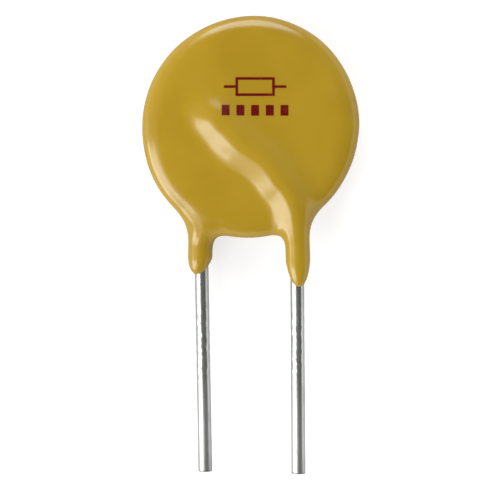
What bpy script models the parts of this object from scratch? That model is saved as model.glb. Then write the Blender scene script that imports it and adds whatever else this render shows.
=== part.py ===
"""Resettable fuse with two radial leads, lying on its back.

A dipped disc hides a thin chip: conductive polymer between two metal foils. One lead is
soldered across each foil on a slant, bends down and leaves through a neck of coating.
World axes: +Z is the front of the disc, +X its right and +Y its top, so the leads point
along -Y. The origin is the middle of the whole box, on the ground. Units are metres.
"""
import math

import bmesh
import bpy
import numpy as np
from mathutils import Matrix, Vector

MM = 0.001

# Coating: a disc with a soft rim, heavier below where the dip drained and fuller at one shoulder
DISC_RADIUS = 6.40 * MM
DISC_HALF_THICKNESS = 0.80 * MM
DISC_CROWN = 0.22 * MM
DISC_SAG = 0.20 * MM
DISC_LEAN = 0.22 * MM
DISC_RISE = 0.13 * MM
RISE_ANGLE = math.radians(66.0)
EDGE_SOFTNESS = 1.30 * MM

# Blend between disc and leads, broader up the slanted runs than at the necks
BLEND = 1.10 * MM
RIDGE_SPREAD = 0.28 * MM
SPREAD_DROP = 3.60 * MM
SPREAD_RUN = 1.60 * MM

# Chip inside the coating
CHIP_RADIUS = 5.70 * MM
CORE_THICKNESS = 0.27 * MM
FOIL_THICKNESS = 0.035 * MM
FOIL_INSET = 0.05 * MM

# Leads, the same wire on both sides
WIRE_RADIUS = 0.405 * MM
WIRE_COAT = 0.315 * MM
WIRE_CHAMFER = 0.09 * MM
LEAD_PITCH = 5.69 * MM
LEAD_SHIFT = -0.145 * MM
CORNER_DROP = 4.40 * MM
SLANT_RUN = 6.30 * MM
SLANT_ANGLE = math.radians(45.0)
BEND_RADIUS = 3.20 * MM
LEAD_REACH = 20.45 * MM
FRONT_SPLAY = math.radians(0.35)
BACK_SPLAY = math.radians(1.06)

# Coating draped over each lead, thinner and drawn out over the end that lies on the chip
END_THINNING = 0.12 * MM
END_FADE = 1.30 * MM
END_DRAW = 0.65

# Necks of coating down each leg, which thin to a slanting end with a tongue on one side
FRONT_NECK_REACH = 9.45 * MM
BACK_NECK_REACH = 8.66 * MM
FRONT_NECK_TAPER = 1.80 * MM
BACK_NECK_TAPER = 1.30 * MM
FRONT_NECK_SLOPE = 0.12
BACK_NECK_SLOPE = -0.45
FRONT_NECK_TONGUE = 0.70
BACK_NECK_TONGUE = 0.55
FRONT_NECK_DRIFT = 0.05 * MM
BACK_NECK_DRIFT = -0.07 * MM
NECK_ONSET = 0.55 * MM

# Solder under each lead
SOLDER_FOOT = 0.80 * MM
SOLDER_WAIST = 0.58 * MM
SOLDER_LIP = 0.07 * MM
SOLDER_BED = 0.04 * MM
SOLDER_OVERRUN = 0.62 * MM
SOLDER_WAIST_LEVEL = 0.35
SOLDER_END_WIDTH = 0.55
SOLDER_SHOULDER_WIDTH = 0.85
SOLDER_LIP_WIDTH = 0.40

# Clearance left between neighbouring pieces, so that no two share a surface
FIT = 0.010 * MM

# Mesh fineness
GRID_CELLS = 32
RIM_ROWS = 6
NECK_ROWS = 9
RELAX_ROUNDS = 14
WIRE_SIDES = 20
CHIP_SIDES = 72
BEND_STEPS = 6

# How the cage is prepared: which part of the rim becomes a neck, and how it settles
RIM_BAND = 0.90
NECK_PATCH = 1.25
NECK_PATCH_LOW = 0.35
NECK_SQUEEZE = 0.80
FIELD_STEP = 0.01 * MM
SLOPE_FLOOR = 0.05

# Heights above the middle plane of the chip, worked out from the sizes above
FOIL_BASE = CORE_THICKNESS / 2 + FIT
FOIL_TOP = FOIL_BASE + FOIL_THICKNESS
SOLDER_BASE = FOIL_TOP + FIT
WIRE_HEIGHT = SOLDER_BASE + SOLDER_BED + FIT + WIRE_RADIUS
NECK_RADIUS = WIRE_RADIUS + WIRE_COAT

FRONT = 1
BACK = -1


def clear_scene():
    """Start from an empty scene."""
    for obj in list(bpy.data.objects):
        bpy.data.objects.remove(obj, do_unlink=True)


def material(name, color, metallic, roughness, coat=0.0):
    """A Principled material with the given looks."""
    mat = bpy.data.materials.new(name)
    mat.use_nodes = True
    shader = mat.node_tree.nodes["Principled BSDF"]
    shader.inputs["Base Color"].default_value = (*color, 1.0)
    shader.inputs["Metallic"].default_value = metallic
    shader.inputs["Roughness"].default_value = roughness
    shader.inputs["Coat Weight"].default_value = coat
    mat.diffuse_color = (*color, 1.0)
    mat.metallic = metallic
    mat.roughness = roughness
    return mat


def epoxy_material():
    """Mustard coloured dip coating, glossy."""
    return material("mustard_coating", (0.445, 0.279, 0.019), 0.0, 0.30, 0.4)


def polymer_material():
    """Black carbon filled polymer."""
    return material("conductive_polymer", (0.012, 0.012, 0.013), 0.0, 0.65)


def foil_material(name):
    """Bright nickel face of an electrode foil."""
    return material(name, (0.56, 0.53, 0.47), 1.0, 0.38)


def wire_material(name):
    """Tinned copper wire."""
    return material(name, (0.72, 0.72, 0.70), 1.0, 0.20)


def solder_material(name):
    """Grey solder."""
    return material(name, (0.50, 0.51, 0.52), 1.0, 0.42)


def add_object(name, bm, mat, smooth_angle=None):
    """Turn a bmesh into a named object with its material."""
    bmesh.ops.remove_doubles(bm, verts=bm.verts, dist=1e-9)
    bmesh.ops.recalc_face_normals(bm, faces=bm.faces)
    mesh = bpy.data.meshes.new(name)
    bm.to_mesh(mesh)
    bm.free()
    obj = bpy.data.objects.new(name, mesh)
    bpy.context.scene.collection.objects.link(obj)
    if mat is not None:
        mesh.materials.append(mat)
    if smooth_angle is not None:
        mesh.shade_smooth()
        mesh.set_sharp_from_angle(angle=smooth_angle)
    return obj


def as_cutter(obj):
    """Mark an object as a cutting tool that is no part of the model."""
    obj.hide_render = True
    obj.display_type = "WIRE"
    return obj


def cut(obj, cutter, label):
    """Take a cutter away from an object."""
    mod = obj.modifiers.new(label, "BOOLEAN")
    mod.operation = "DIFFERENCE"
    mod.solver = "EXACT"
    mod.object = cutter


def loft(bm, rings):
    """Join rings of equal point count into a closed skin with flat ends."""
    loops = [[bm.verts.new(point) for point in ring] for ring in rings]
    count = len(loops[0])
    for lower, upper in zip(loops, loops[1:]):
        for i in range(count):
            j = (i + 1) % count
            bm.faces.new((lower[i], lower[j], upper[j], upper[i]))
    bm.faces.new(loops[0])
    bm.faces.new(loops[-1])


def disc_body(name, mat, radius, low, high, grow=0.0):
    """A round plate between two heights."""
    bm = bmesh.new()
    rings = []
    for z in (low - grow, high + grow):
        ring = []
        for i in range(CHIP_SIDES):
            angle = 2 * math.pi * i / CHIP_SIDES
            ring.append(Vector(((radius + grow) * math.cos(angle), (radius + grow) * math.sin(angle), z)))
        rings.append(ring)
    loft(bm, rings)
    return add_object(name, bm, mat, math.radians(35))


def lead_line(side):
    """Corner, slant direction and leg direction of one lead, seen from the front."""
    corner = Vector((LEAD_SHIFT + side * LEAD_PITCH / 2, -CORNER_DROP, 0.0))
    slant = Vector((-side * math.sin(SLANT_ANGLE), math.cos(SLANT_ANGLE), 0.0))
    splay = FRONT_SPLAY if side == FRONT else BACK_SPLAY
    leg = Vector((math.sin(splay), -math.cos(splay), 0.0))
    return corner, slant, leg


def bend_points(side):
    """Centre line of the bend, from the slanted run into the leg."""
    corner, slant, leg = lead_line(side)
    turn = slant.angle(-leg)
    setback = BEND_RADIUS * math.tan(turn / 2)
    start = corner + slant * setback
    inward = (slant + leg).normalized()
    centre = corner + inward * (BEND_RADIUS / math.cos(turn / 2))
    arm = start - centre
    turning = 1.0 if arm.cross(-slant).z > 0 else -1.0
    points = []
    for i in range(BEND_STEPS + 1):
        spin = Matrix.Rotation(turning * turn * i / BEND_STEPS, 3, "Z")
        points.append(centre + spin @ arm)
    return points


def lead_path(side):
    """Centre line of a whole lead at its own height, from the chip to the cut end."""
    corner, slant, leg = lead_line(side)
    tip = corner + leg * ((LEAD_REACH - CORNER_DROP) / -leg.y)
    flat = [corner + slant * SLANT_RUN] + bend_points(side) + [tip]
    return [Vector((point.x, point.y, side * WIRE_HEIGHT)) for point in flat]


def sweep(name, mat, path, radius, chamfer, grow):
    """A round wire along a path, with its cut ends chamfered."""
    first = (path[1] - path[0]).normalized()
    last = (path[-1] - path[-2]).normalized()
    stations = [(path[0] - first * grow, first, radius + grow - chamfer)]
    stations.append((path[0] - first * grow + first * chamfer, first, radius + grow))
    for before, here, after in zip(path, path[1:], path[2:]):
        tangent = ((here - before).normalized() + (after - here).normalized()).normalized()
        stations.append((here, tangent, radius + grow))
    stations.append((path[-1] + last * grow - last * chamfer, last, radius + grow))
    stations.append((path[-1] + last * grow, last, radius + grow - chamfer))
    bm = bmesh.new()
    rings = []
    for centre, tangent, size in stations:
        across = tangent.cross(Vector((0, 0, 1)))
        ring = []
        for i in range(WIRE_SIDES):
            angle = 2 * math.pi * (i + 0.5) / WIRE_SIDES
            ring.append(centre + across * (size * math.cos(angle)) + Vector((0, 0, size * math.sin(angle))))
        rings.append(ring)
    loft(bm, rings)
    return add_object(name, bm, mat, math.radians(40))


def lead_body(name, mat, side, grow=0.0):
    """One tinned lead, or the room it takes when grown by the clearance."""
    return sweep(name, mat, lead_path(side), WIRE_RADIUS, WIRE_CHAMFER, grow)


def solder_body(name, mat, side, grow=0.0):
    """The mound of solder that beds a lead on its foil, before the wire is taken out."""
    corner, slant, _ = lead_line(side)
    across = slant.cross(Vector((0, 0, 1)))
    base = SOLDER_BASE - grow
    crest = WIRE_HEIGHT + grow
    lip = WIRE_RADIUS + FIT + SOLDER_LIP + grow
    middle = base + (crest - base) * SOLDER_WAIST_LEVEL
    near = bend_points(side)[0]
    far = corner + slant * (SLANT_RUN + SOLDER_OVERRUN)
    length = (far - near).length
    shoulder = SOLDER_OVERRUN / 2
    full = SOLDER_OVERRUN * 1.4
    stations = (
        (-grow, SOLDER_END_WIDTH),
        (shoulder, SOLDER_SHOULDER_WIDTH),
        (full, 1.0),
        (length - full, 1.0),
        (length - shoulder, SOLDER_SHOULDER_WIDTH),
        (length + grow, SOLDER_END_WIDTH),
    )
    bm = bmesh.new()
    loops = []
    for along, width in stations:
        centre = near + slant * along
        lip_width = lip * (SOLDER_LIP_WIDTH + (1 - SOLDER_LIP_WIDTH) * width)
        profile = (
            (-SOLDER_FOOT * width - grow, base),
            (-SOLDER_WAIST * width - grow, middle),
            (-lip_width, crest),
            (lip_width, crest),
            (SOLDER_WAIST * width + grow, middle),
            (SOLDER_FOOT * width + grow, base),
        )
        loops.append([centre + across * s + Vector((0, 0, side * z)) for s, z in profile])
    loft(bm, loops)
    return add_object(name, bm, mat, math.radians(30))


def smooth_union(first, second, width):
    """Blend two distance fields over a given width, which may differ from point to point."""
    near = np.clip(width - np.abs(first - second), 0, None) / width
    return np.minimum(first, second) - near * near * width / 4


def edge_run():
    """How far the rounding of the rim reaches in from the edge."""
    if EDGE_SOFTNESS < DISC_HALF_THICKNESS:
        return DISC_HALF_THICKNESS
    return 2 * math.sqrt(EDGE_SOFTNESS * DISC_HALF_THICKNESS) - EDGE_SOFTNESS


def disc_field(points):
    """Distance from the disc of coating."""
    radial = np.hypot(points[:, 0], points[:, 1])
    below = np.clip(-points[:, 1] / DISC_RADIUS, 0, 1)
    leaned = np.hypot(points[:, 0] + DISC_LEAN * below, points[:, 1])
    toward = points[:, 0] * math.cos(RISE_ANGLE) + points[:, 1] * math.sin(RISE_ANGLE)
    fuller = np.clip(toward / DISC_RADIUS, 0, 1)
    flat = DISC_RADIUS + DISC_SAG * below ** 2 + DISC_RISE * fuller ** 4 - edge_run()
    crown = DISC_CROWN * np.clip(1 - (radial / DISC_RADIUS) ** 2, 0, 1)
    past = leaned - flat
    easing = np.clip(past + EDGE_SOFTNESS, 0, None) ** 2 / (4 * EDGE_SOFTNESS)
    rounding = np.where(past < EDGE_SOFTNESS, easing, past)
    return np.hypot(rounding, points[:, 2]) - DISC_HALF_THICKNESS - crown


def neck_sizes(side):
    """Reach, taper, slope, tongue and drift of one neck."""
    if side == FRONT:
        return FRONT_NECK_REACH, FRONT_NECK_TAPER, FRONT_NECK_SLOPE, FRONT_NECK_TONGUE, FRONT_NECK_DRIFT
    return BACK_NECK_REACH, BACK_NECK_TAPER, BACK_NECK_SLOPE, BACK_NECK_TONGUE, BACK_NECK_DRIFT


def neck_start(side):
    """Height at which a neck begins to thin, so that its tip ends at its reach."""
    reach, taper, _, tongue, _ = neck_sizes(side)
    squeeze = 1 - NECK_RADIUS / taper
    rest = math.sqrt(NECK_RADIUS ** 2 - WIRE_RADIUS ** 2)
    run = (rest + squeeze * (tongue * WIRE_RADIUS - NECK_ONSET / 2)) / (1 - squeeze)
    return run - reach


def coat_radius(from_end):
    """Outer radius of the coating over a lead, thinner at the end that lies on the chip."""
    fading = np.cos(np.clip(from_end / END_FADE, 0, 1) * math.pi / 2) ** 2
    return NECK_RADIUS - END_THINNING * fading


def away_from_slant(points, end, bend):
    """Distance from the coating over the slanted run, drawn out beyond the end of the wire."""
    span = bend - end
    run = np.linalg.norm(span)
    along = (points - end) @ span / run
    held = np.clip(along, 0, run)
    aside = np.linalg.norm(points - end - along[:, None] * span / run, axis=1)
    beyond = (along - held) * np.where(along < 0, END_DRAW, 1.0)
    return np.hypot(aside, beyond) - coat_radius(held)


def away_from_run(points, start, end):
    """Distance from the coating over a straight piece of lead of full thickness."""
    span = end - start
    along = np.clip((points - start) @ span / (span @ span), 0, 1)
    return np.linalg.norm(points - start - along[:, None] * span, axis=1) - NECK_RADIUS


def draped_field(points, side):
    """Distance from the coating that lies over one lead, down to the end of its neck."""
    _, taper, slope, tongue, drift = neck_sizes(side)
    start = neck_start(side)
    line = np.array([tuple(point) for point in lead_path(side)])
    axis_x = np.interp(-points[:, 1], -line[-2:, 1], line[-2:, 0])
    depth = start + slope * (points[:, 0] - axis_x) + tongue * (points[:, 2] - line[-1, 2]) - points[:, 1]
    easing = np.clip(depth, 0, NECK_ONSET) ** 2 / (2 * NECK_ONSET)
    below = np.where(depth < NECK_ONSET, easing, depth - NECK_ONSET / 2)
    moved = points.copy()
    moved[:, 1] += below * (1 - NECK_RADIUS / taper)
    line[-1] = line[-2] + (line[-1] - line[-2]) * (start - line[-2, 1]) / (line[-1, 1] - line[-2, 1])
    line[-1, 0] += drift
    nearest = away_from_slant(moved, line[0], line[1])
    for start_point, end_point in zip(line[1:-1], line[2:]):
        nearest = np.minimum(nearest, away_from_run(moved, start_point, end_point))
    return nearest


def blend_width(points):
    """Width of the blend between disc and lead, broader up the slanted runs."""
    above = np.clip((points[:, 1] + SPREAD_DROP) / SPREAD_RUN, 0, 1)
    return BLEND + RIDGE_SPREAD * above ** 2 * (3 - 2 * above)


def coating_field(points):
    """The whole skin: disc, both draped leads and both necks, run together."""
    width = blend_width(points)
    skin = smooth_union(disc_field(points), draped_field(points, FRONT), width)
    return smooth_union(skin, draped_field(points, BACK), width)


def settle_on_skin(bm, rounds):
    """Move every vertex along the slope of the field until it lies on the skin."""
    bm.verts.ensure_lookup_table()
    points = np.array([tuple(vert.co) for vert in bm.verts])
    for _ in range(rounds):
        value = coating_field(points)
        slope = np.empty_like(points)
        for axis in range(3):
            offset = np.zeros(3)
            offset[axis] = FIELD_STEP
            rise = coating_field(points + offset) - coating_field(points - offset)
            slope[:, axis] = rise / (2 * FIELD_STEP)
        size = np.clip((slope ** 2).sum(axis=1), SLOPE_FLOOR, None)
        points -= slope * (value / size)[:, None]
    for vert, point in zip(bm.verts, points):
        vert.co = point


def pill_cage(bm):
    """A quad box turned to a diamond and rounded into a pill, its rows along the slants."""
    bmesh.ops.create_cube(bm, size=2.0)
    flat = [edge for edge in bm.edges if abs(edge.verts[0].co.z - edge.verts[1].co.z) < 1e-6]
    bmesh.ops.subdivide_edges(bm, edges=flat, cuts=GRID_CELLS - 1, use_grid_fill=True)
    tall = [edge for edge in bm.edges if abs(edge.verts[0].co.z - edge.verts[1].co.z) > 1e-6]
    bmesh.ops.subdivide_edges(bm, edges=tall, cuts=RIM_ROWS - 1, use_grid_fill=True)
    turn = Matrix.Rotation(math.radians(45), 3, "Z")
    for vert in bm.verts:
        u, v, w = vert.co
        disc = Vector((u * math.sqrt(1 - v * v / 2), v * math.sqrt(1 - u * u / 2), 0.0)) * DISC_RADIUS
        vert.co = turn @ disc + Vector((0, 0, w * DISC_HALF_THICKNESS))


def draw_neck(bm, side):
    """Draw a patch of the rim down into a neck, ring by ring."""
    corner, _, leg = lead_line(side)
    reach = neck_sizes(side)[0]
    patch = []
    for face in bm.faces:
        centre = face.calc_center_median()
        upright = abs(face.normal.z) < 0.5
        on_rim = math.hypot(centre.x, centre.y) > RIM_BAND * DISC_RADIUS
        in_line = abs(centre.x - corner.x) < NECK_PATCH * NECK_RADIUS
        near_wire = side * centre.z > -NECK_PATCH_LOW * DISC_HALF_THICKNESS
        if centre.y < 0 and upright and on_rim and in_line and near_wire:
            patch.append(face)
    rim = -math.sqrt(DISC_RADIUS ** 2 - corner.x ** 2)
    for row in range(1, NECK_ROWS + 1):
        y = rim + (-reach - rim) * row / NECK_ROWS
        grown = bmesh.ops.extrude_face_region(bm, geom=patch)["geom"]
        bmesh.ops.delete(bm, geom=patch, context="FACES")
        patch = [item for item in grown if isinstance(item, bmesh.types.BMFace)]
        verts = {vert for face in patch for vert in face.verts}
        middle = sum((vert.co.x for vert in verts)) / len(verts)
        height = sum((vert.co.z for vert in verts)) / len(verts)
        axis_x = corner.x + leg.x * (y - corner.y) / leg.y
        for vert in verts:
            vert.co.x = axis_x + (vert.co.x - middle) * (NECK_SQUEEZE if row == 1 else 1.0)
            vert.co.z = side * WIRE_HEIGHT + (vert.co.z - height)
            vert.co.y = y


def coating_skin(name, mat):
    """The outer skin as one closed mesh of even cells, before the inside is cut out."""
    bm = bmesh.new()
    pill_cage(bm)
    bm.normal_update()
    draw_neck(bm, FRONT)
    bm.normal_update()
    draw_neck(bm, BACK)
    settle_on_skin(bm, 3)
    every_axis = {"use_axis_x": True, "use_axis_y": True, "use_axis_z": True}
    for _ in range(RELAX_ROUNDS):
        bmesh.ops.smooth_vert(bm, verts=bm.verts, factor=0.5, **every_axis)
        settle_on_skin(bm, 2)
    settle_on_skin(bm, 4)
    return add_object(name, bm, mat, math.radians(50))


def build_chip():
    """Polymer core with a foil bonded to each face."""
    disc_body("ptc_core", polymer_material(), CHIP_RADIUS, -CORE_THICKNESS / 2, CORE_THICKNESS / 2)
    disc_body("front_foil", foil_material("front_nickel_foil"), CHIP_RADIUS - FOIL_INSET, FOIL_BASE, FOIL_TOP)
    disc_body("back_foil", foil_material("back_nickel_foil"), CHIP_RADIUS - FOIL_INSET, -FOIL_TOP, -FOIL_BASE)


def build_leads():
    """Both leads and the solder that beds them."""
    for side, word in ((FRONT, "front"), (BACK, "back")):
        lead_body(word + "_lead", wire_material(word + "_tinned_wire"), side)
        solder = solder_body(word + "_solder", solder_material(word + "_solder_metal"), side)
        room = as_cutter(lead_body(word + "_wire_room", None, side, FIT))
        cut(solder, room, "wire_room")


def build_coating():
    """The dipped coating, cut out to the shape of everything inside it."""
    coating = coating_skin("coating", epoxy_material())
    chip_room = disc_body("chip_room", None, CHIP_RADIUS, -FOIL_TOP, FOIL_TOP, FIT)
    cut(coating, as_cutter(chip_room), "chip_room")
    for side, word in ((FRONT, "front"), (BACK, "back")):
        solder_room = as_cutter(solder_body(word + "_solder_room", None, side, FIT))
        cut(coating, solder_room, word + "_solder_room")
        cut(coating, bpy.data.objects[word + "_wire_room"], word + "_wire_room")


def place_on_ground():
    """Move everything so the whole box is centred on the origin and stands on the ground."""
    names = ("coating", "front_lead", "back_lead")
    spots = [vert.co for name in names for vert in bpy.data.objects[name].data.vertices]
    low = Vector([min(spot[axis] for spot in spots) for axis in range(3)])
    high = Vector([max(spot[axis] for spot in spots) for axis in range(3)])
    shift = Vector((-(low.x + high.x) / 2, -(low.y + high.y) / 2, -low.z))
    for obj in bpy.data.objects:
        obj.data.transform(Matrix.Translation(shift))


clear_scene()
build_chip()
build_leads()
build_coating()
place_on_ground()
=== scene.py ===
"""Scene of a resettable fuse with two radial leads, lying on its back under the camera.

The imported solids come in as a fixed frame. The dipped coating and both tinned leads are
modelled again in finer detail in the same places, and a plain ink mark is laid on the
front face. The chip, its foils and the solder keep their solids and get worked finishes.
All lengths are in metres.
"""

from __future__ import annotations

import contextlib
import logging
import math
from collections.abc import Callable, Iterator, Sequence
from dataclasses import dataclass, field
from enum import Enum

import bmesh
import bpy
import numpy as np
from mathutils import Matrix, Vector


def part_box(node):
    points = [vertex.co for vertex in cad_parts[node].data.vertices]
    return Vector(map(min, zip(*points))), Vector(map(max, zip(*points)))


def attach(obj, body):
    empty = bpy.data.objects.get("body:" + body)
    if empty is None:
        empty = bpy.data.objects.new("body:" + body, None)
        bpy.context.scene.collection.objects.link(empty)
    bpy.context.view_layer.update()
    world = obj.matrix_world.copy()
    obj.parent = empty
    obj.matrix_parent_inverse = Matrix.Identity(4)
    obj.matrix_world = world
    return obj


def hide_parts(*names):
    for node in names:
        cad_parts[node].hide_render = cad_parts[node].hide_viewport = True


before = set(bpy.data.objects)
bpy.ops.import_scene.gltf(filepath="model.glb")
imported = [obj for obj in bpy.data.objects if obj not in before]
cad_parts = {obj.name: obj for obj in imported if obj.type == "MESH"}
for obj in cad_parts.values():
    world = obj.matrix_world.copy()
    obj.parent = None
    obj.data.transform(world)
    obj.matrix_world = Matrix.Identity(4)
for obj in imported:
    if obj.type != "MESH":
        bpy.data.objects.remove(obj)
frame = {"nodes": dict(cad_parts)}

LOG = logging.getLogger("fuse")
BODY = "root"
MM = 0.001
SKIN_SHARP_DEG = 50.0
CUT_SHARP_DEG = 40.0
ALIGNED = 1e-9
WHITE = (1.0, 1.0, 1.0, 1.0)


class Side(Enum):
    """The face of the disc that a lead lies on."""

    FRONT = 1
    BACK = -1


class Element(Enum):
    """The kind of mesh element that a selection is made of."""

    FACE = "FACE"
    EDGE = "EDGE"


class PanelShape(Enum):
    """The outline of a panel of light."""

    ELLIPSE = "ELLIPSE"
    RECTANGLE = "RECTANGLE"


def put_down() -> None:
    """Leave nothing selected and nothing active."""
    for obj in list(bpy.context.selected_objects):
        obj.select_set(False)
    bpy.context.view_layer.objects.active = None


def take_up(obj: bpy.types.Object) -> None:
    """Select one object alone and make it active.

    Args:
        obj: The object to work on.
    """
    put_down()
    obj.select_set(True)
    bpy.context.view_layer.objects.active = obj


@contextlib.contextmanager
def editing(obj: bpy.types.Object) -> Iterator[None]:
    """Open an object in edit mode and close it again.

    Args:
        obj: The mesh object to edit.

    Yields:
        Nothing; the operators inside act on the object.
    """
    take_up(obj)
    bpy.ops.object.mode_set(mode="EDIT")
    bpy.ops.mesh.select_mode(type="VERT")
    try:
        yield
    finally:
        bpy.ops.object.mode_set(mode="OBJECT")


def pick(obj: bpy.types.Object, kind: Element, test: Callable[[object], bool]) -> None:
    """Select the faces or edges that pass a test, and no others.

    Args:
        obj: An object that is open in edit mode.
        kind: Whether faces or edges are picked.
        test: Says whether a bmesh element is wanted.
    """
    bpy.ops.mesh.select_mode(type=kind.value)
    bpy.ops.mesh.select_all(action="DESELECT")
    mesh = bmesh.from_edit_mesh(obj.data)
    for element in mesh.faces if kind is Element.FACE else mesh.edges:
        if test(element):
            element.select_set(True)
    bmesh.update_edit_mesh(obj.data)


def points_of(obj: bpy.types.Object) -> np.ndarray:
    """Read an object's vertices.

    Args:
        obj: A mesh object in object mode.

    Returns:
        One row of x, y and z for each vertex.
    """
    flat = np.empty(len(obj.data.vertices) * 3)
    obj.data.vertices.foreach_get("co", flat)
    return flat.reshape(-1, 3)


def move_points(obj: bpy.types.Object, points: np.ndarray) -> None:
    """Write an object's vertices back.

    Args:
        obj: A mesh object in object mode.
        points: One row of x, y and z for each vertex.
    """
    obj.data.vertices.foreach_set("co", points.ravel())
    obj.data.update()


def refine(obj: bpy.types.Object, levels: int) -> None:
    """Subdivide an object smoothly and keep the result.

    Args:
        obj: The mesh object.
        levels: How many times each face is quartered.
    """
    take_up(obj)
    smooth = obj.modifiers.new("Refine", "SUBSURF")
    smooth.levels = levels
    smooth.render_levels = levels
    bpy.ops.object.modifier_apply(modifier=smooth.name)


def finish_piece(
    obj: bpy.types.Object,
    name: str,
    material: bpy.types.Material,
    shift: Vector,
    sharp_deg: float,
) -> bpy.types.Object:
    """Name a finished piece, put it in place, shade it and let it ride on the body.

    Args:
        obj: The piece, modelled about the middle of the chip.
        name: The piece's name.
        material: Its finish.
        shift: The middle of the chip in the row's frame.
        sharp_deg: Edges sharper than this stay crisp.

    Returns:
        The same object.
    """
    obj.name = name
    obj.data.name = name
    obj.data.transform(obj.matrix_basis)
    obj.matrix_basis = Matrix.Identity(4)
    obj.data.transform(Matrix.Translation(shift))
    obj.data.materials.clear()
    obj.data.materials.append(material)
    take_up(obj)
    bpy.ops.object.shade_smooth_by_angle(angle=math.radians(sharp_deg))
    put_down()
    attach(obj, BODY)
    LOG.info("%s: %d faces", name, len(obj.data.polygons))
    return obj


class NodeBoard:
    """Places and joins shader nodes in one material, group or world."""

    def __init__(self, tree: bpy.types.NodeTree) -> None:
        """Start from a tree.

        Args:
            tree: The node tree to build in.
        """
        self.tree = tree

    def add(self, kind: str, **settings: object) -> bpy.types.Node:
        """Add a node.

        Args:
            kind: The node's type name.
            **settings: Properties to set on it.

        Returns:
            The new node.
        """
        node = self.tree.nodes.new(kind)
        for key, value in settings.items():
            setattr(node, key, value)
        return node

    def join(self, source: bpy.types.NodeSocket, target: bpy.types.NodeSocket) -> None:
        """Link one socket to another."""
        self.tree.links.new(source, target)

    def math(self, operation: str, *values: object) -> bpy.types.NodeSocket:
        """Add a math node.

        Args:
            operation: The operation's name.
            *values: Sockets or numbers, in order.

        Returns:
            The result's socket.
        """
        node = self.add("ShaderNodeMath", operation=operation)
        for socket, value in zip(node.inputs, values):
            if isinstance(value, bpy.types.NodeSocket):
                self.join(value, socket)
            else:
                socket.default_value = value
        return node.outputs[0]

    def spread(
        self, source: bpy.types.NodeSocket, low: float, high: float, to_low: float, to_high: float
    ) -> bpy.types.NodeSocket:
        """Map a range of values onto another, held at its ends.

        Args:
            source: The value to map.
            low: The value that becomes to_low.
            high: The value that becomes to_high.
            to_low: The result at low.
            to_high: The result at high.

        Returns:
            The result's socket.
        """
        node = self.add("ShaderNodeMapRange", interpolation_type="SMOOTHSTEP")
        self.join(source, node.inputs["Value"])
        node.inputs["From Min"].default_value = low
        node.inputs["From Max"].default_value = high
        node.inputs["To Min"].default_value = to_low
        node.inputs["To Max"].default_value = to_high
        return node.outputs["Result"]

    def noise(
        self, place: bpy.types.NodeSocket, scale: float, detail: float = 2.0, roughness: float = 0.5
    ) -> bpy.types.NodeSocket:
        """Add a noise texture.

        Args:
            place: The coordinates that it reads.
            scale: How many features to a metre.
            detail: Octaves of finer noise.
            roughness: How strong the finer noise is.

        Returns:
            The noise value's socket.
        """
        node = self.add("ShaderNodeTexNoise")
        self.join(place, node.inputs["Vector"])
        node.inputs["Scale"].default_value = scale
        node.inputs["Detail"].default_value = detail
        node.inputs["Roughness"].default_value = roughness
        return node.outputs["Fac"]

    def stretch(self, place: bpy.types.NodeSocket, scale: Sequence[float]) -> bpy.types.NodeSocket:
        """Scale the coordinates of a pattern.

        Args:
            place: The coordinates.
            scale: The factor along each axis.

        Returns:
            The mapped coordinates' socket.
        """
        node = self.add("ShaderNodeMapping")
        self.join(place, node.inputs["Vector"])
        node.inputs["Scale"].default_value = scale
        return node.outputs["Vector"]

    def blend(
        self, factor: bpy.types.NodeSocket, first: Sequence[float], second: Sequence[float]
    ) -> bpy.types.NodeSocket:
        """Mix two colours.

        Args:
            factor: 0 gives the first colour and 1 the second.
            first: Linear red, green and blue.
            second: Linear red, green and blue.

        Returns:
            The colour's socket.
        """
        node = self.add("ShaderNodeMix", data_type="RGBA")
        self.join(factor, node.inputs["Factor"])
        node.inputs["A"].default_value = (*first, 1.0)
        node.inputs["B"].default_value = (*second, 1.0)
        return node.outputs["Result"]

    def bump(self, height: bpy.types.NodeSocket, distance: float, strength: float) -> bpy.types.NodeSocket:
        """Turn a height into a normal.

        Args:
            height: The height, from 0 to 1.
            distance: What a height of 1 stands for.
            strength: How much of it is used.

        Returns:
            The normal's socket.
        """
        node = self.add("ShaderNodeBump")
        self.join(height, node.inputs["Height"])
        node.inputs["Distance"].default_value = distance
        node.inputs["Strength"].default_value = strength
        return node.outputs["Normal"]


def start_group(name: str, inputs: Sequence[tuple[str, float]], outputs: Sequence[str]) -> bpy.types.NodeTree:
    """Make an empty shader group with float sockets.

    Args:
        name: The group's name.
        inputs: The name and default of each input beside Place.
        outputs: The name of each output.

    Returns:
        The group's tree.
    """
    tree = bpy.data.node_groups.new(name, "ShaderNodeTree")
    tree.interface.new_socket("Place", in_out="INPUT", socket_type="NodeSocketVector")
    for label, default in inputs:
        socket = tree.interface.new_socket(label, in_out="INPUT", socket_type="NodeSocketFloat")
        socket.default_value = default
    for label in outputs:
        tree.interface.new_socket(label, in_out="OUTPUT", socket_type="NodeSocketFloat")
    return tree


def lay_noises(
    board: NodeBoard, given: bpy.types.Node, result: bpy.types.Node, rows: Sequence[tuple[str, float]]
) -> None:
    """Fill a group's outputs with noises, each scaled by the input of its own name.

    Args:
        board: The group's board.
        given: The group's input node.
        result: The group's output node.
        rows: The output and the octaves of each noise.
    """
    for label, detail in rows:
        noise = board.add("ShaderNodeTexNoise")
        board.join(given.outputs["Place"], noise.inputs["Vector"])
        board.join(given.outputs[f"{label} Scale"], noise.inputs["Scale"])
        noise.inputs["Detail"].default_value = detail
        board.join(noise.outputs["Fac"], result.inputs[label])


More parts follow.
